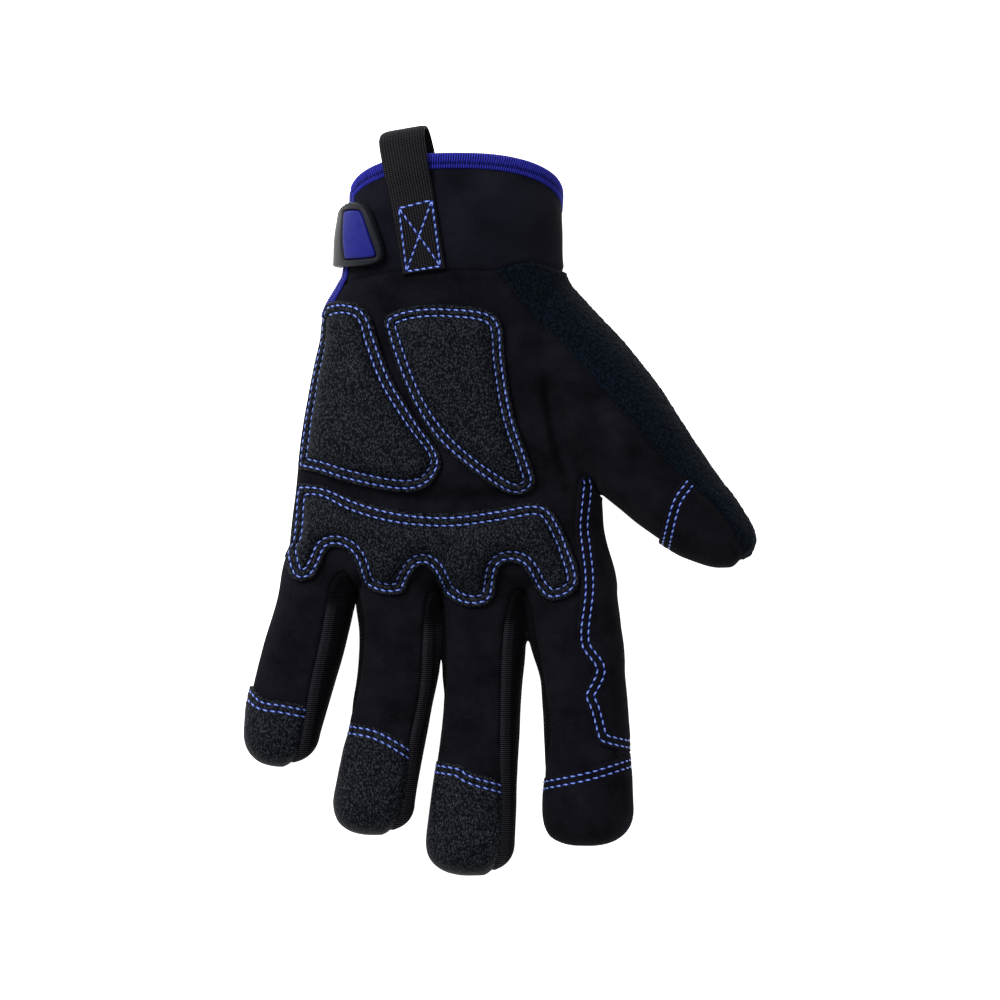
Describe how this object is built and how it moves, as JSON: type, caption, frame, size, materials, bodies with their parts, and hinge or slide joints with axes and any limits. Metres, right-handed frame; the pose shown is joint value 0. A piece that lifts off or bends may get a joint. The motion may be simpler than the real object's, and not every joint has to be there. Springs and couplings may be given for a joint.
{
  "type": "mechanic glove",
  "caption": "Left-hand mechanic glove lying palm up: padded suede palm, knit finger sides, terry thumb back, neoprene cuff with blue binding, pull loop and strap tab.",
  "frame": {"origin": "middle of the footprint, on the surface that the glove lies on", "axes": "+X toward the thumb side, -Y toward the fingertips, +Y toward the cuff, +Z out of the palm"},
  "size_m": [0.1744, 0.2554, 0.0486],
  "materials": {
    "suede": "napped synthetic suede",
    "stretch_fabric": "smooth stretch knit",
    "terry": "looped terry cloth",
    "ribbed_knit": "fine ribbed knit",
    "neoprene": "smooth neoprene face cloth",
    "blue_binding": "overlocked binding",
    "pebbled_leather": "pebbled synthetic leather",
    "webbing": "woven nylon webbing",
    "strap_fabric": "hook and loop tape",
    "tab_rubber": "satin moulded rubber",
    "tab_inset": "matte moulded rubber"
  },
  "bodies": {
    "root": {"palm_panel": "suede", "back_panel": "stretch_fabric", "thumb_back": "terry", "fourchette_little_ring": "ribbed_knit", "fourchette_ring_middle": "ribbed_knit", "fourchette_middle_index": "ribbed_knit", "cuff": "neoprene", "cuff_binding": "blue_binding", "hypothenar_pad": "pebbled_leather", "thenar_pad": "pebbled_leather", "knuckle_pad": "pebbled_leather", "cap_little": "pebbled_leather", "cap_ring": "pebbled_leather", "cap_middle": "pebbled_leather", "cap_index": "suede", "cap_thumb": "suede", "index_patch": "suede", "pull_loop": "webbing", "wrist_strap": "strap_fabric", "tab_frame": "tab_rubber", "tab_inset": "tab_inset"}
  },
  "joints": []
}
